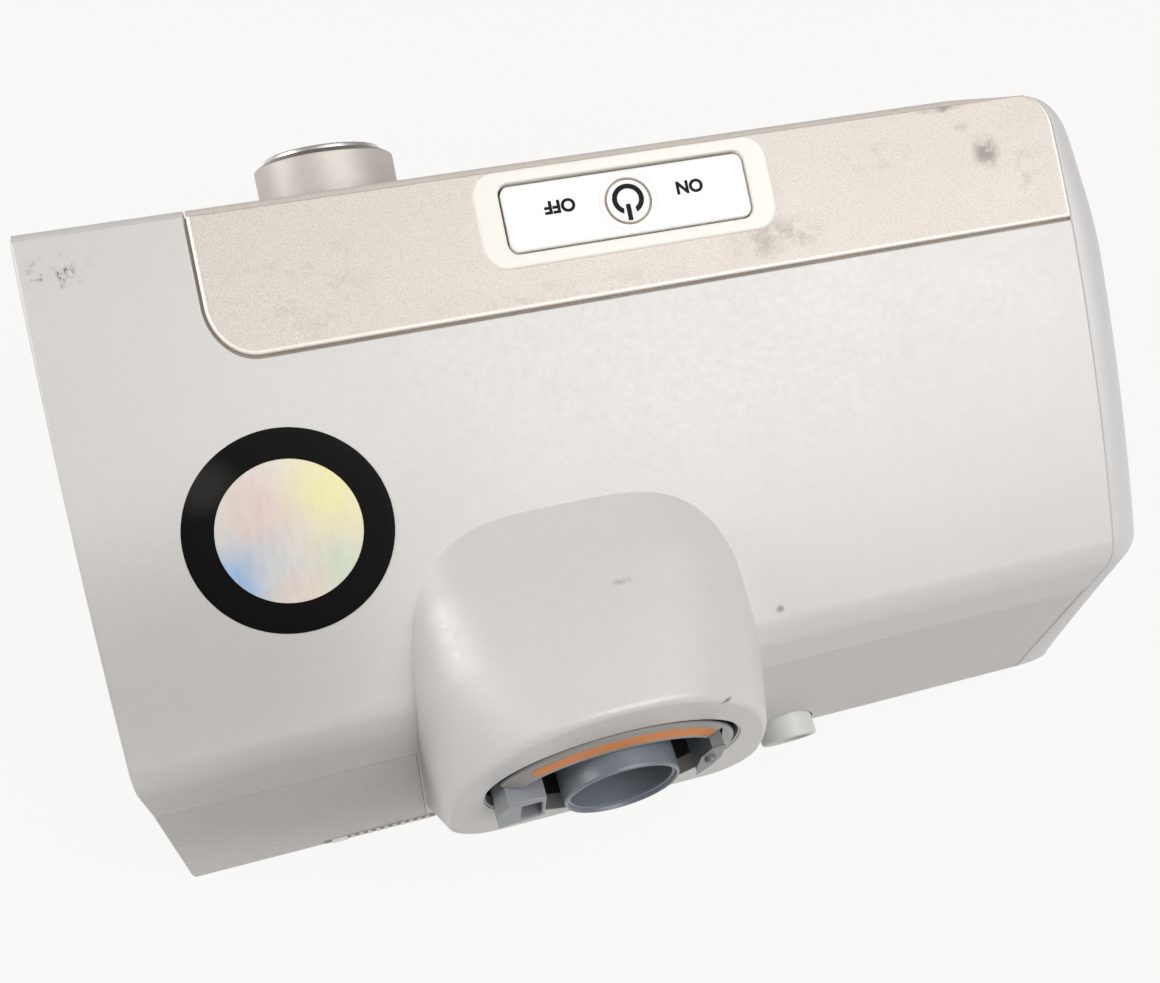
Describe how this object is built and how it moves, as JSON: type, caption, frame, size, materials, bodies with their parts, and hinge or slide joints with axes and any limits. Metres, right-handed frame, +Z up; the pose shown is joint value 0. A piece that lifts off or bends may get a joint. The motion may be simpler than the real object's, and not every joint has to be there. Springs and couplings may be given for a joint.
{
  "type": "cpap machine",
  "caption": "Bedside positive airway pressure pump with a sloping top, start button strip, oval air outlet hump, screen and dial on the leaning front, and an empty open tub bay.",
  "frame": {"origin": "under the middle of the bounding box, on the plane that the rubber feet stand on", "axes": "+X runs along the long side to the open end of the tub bay, +Y points to the outlet side, the screen faces -Y, +Z is up"},
  "size_m": [0.205, 0.15, 0.116],
  "materials": {
    "shell": "satin metallic paint",
    "strip": "speckled satin",
    "surround": "satin",
    "button": "satin",
    "insert": "fine matte",
    "tube": "satin",
    "collar": "matte",
    "base": "satin",
    "fascia": "glossy",
    "lens": "clear gloss",
    "silver": "brushed",
    "steel": "plain",
    "brass": "plain",
    "rubber": "matte",
    "silicone": "matte",
    "board": "solder mask",
    "black": "matte",
    "foam": "open foam",
    "filter": "fibre pad",
    "liner": "fine matte",
    "heater": "satin"
  },
  "bodies": {
    "housing": {"upper_case": "shell", "lower_case": "base", "side_panel": "shell", "front_fascia": "fascia", "top_strip": "strip", "button_surround": "surround", "start_switch": "black", "button_board": "board", "screen_lens": "lens", "lcd_module": "black", "display_board": "board", "encoder_body": "steel", "home_switch": "black", "outlet_insert": "insert", "outlet_tube": "tube", "tube_connector": "insert", "tube_latch": "insert", "outlet_elbow": "liner", "bay_liner": "liner", "heater_plate": "heater", "heater_gasket": "silicone", "port_seal_1": "silicone", "port_seal_2": "silicone", "blower_base": "base", "blower_cover": "base", "motor": "steel", "blower_mount_1": "rubber", "blower_mount_2": "rubber", "blower_mount_3": "rubber", "blower_pipe": "silicone", "muffler_foam": "foam", "main_board": "board", "power_inlet": "collar", "inlet_pin": "brass", "card_socket": "black", "filter_holder": "base", "air_filter": "filter", "base_screw_1": "steel", "base_screw_2": "steel", "base_screw_3": "steel", "foot_1": "rubber", "foot_2": "rubber", "foot_3": "rubber", "foot_4": "rubber"},
    "start_key": {"start_button": "button"},
    "dial_carrier": {"encoder_plunger": "black"},
    "dial": {"dial_knob": "silver", "dial_trim_ring": "silver", "encoder_shaft": "steel"},
    "home_key": {"home_button": "silver"},
    "filter_door": {"filter_cover": "shell"},
    "card_door": {"card_cover": "shell"},
    "fan": {"impeller": "button"}
  },
  "joints": [
    {"name": "start_press", "type": "slide", "parent": "housing", "child": "start_key", "axis": [0, -0.5058, -0.8626], "range_m": [0, 0.001], "stiffness_N_per_m": 900},
    {"name": "dial_press", "type": "slide", "parent": "housing", "child": "dial_carrier", "axis": [0, 0.7771, -0.6293], "range_m": [0, 0.0008], "stiffness_N_per_m": 1500},
    {"name": "dial_turn", "type": "hinge", "parent": "dial_carrier", "child": "dial", "pos_m": [0.0473, -0.03635, 0.09704], "axis": [0, -0.7771, 0.6293], "continuous": true},
    {"name": "home_press", "type": "slide", "parent": "housing", "child": "home_key", "axis": [0, 0.7771, -0.6293], "range_m": [0, 0.0008], "stiffness_N_per_m": 900},
    {"name": "filter_door_hinge", "type": "hinge", "parent": "housing", "child": "filter_door", "pos_m": [-0.1016, 0.019, 0.0244], "axis": [0, -1, 0], "range_deg": [0, 90]},
    {"name": "card_door_hinge", "type": "hinge", "parent": "housing", "child": "card_door", "pos_m": [-0.1016, -0.01, 0.0624], "axis": [0, -1, 0], "range_deg": [0, 90]},
    {"name": "fan_spin", "type": "hinge", "parent": "housing", "child": "fan", "pos_m": [-0.034, 0.008, 0.02], "axis": [0, 0, 1], "continuous": true}
  ]
}
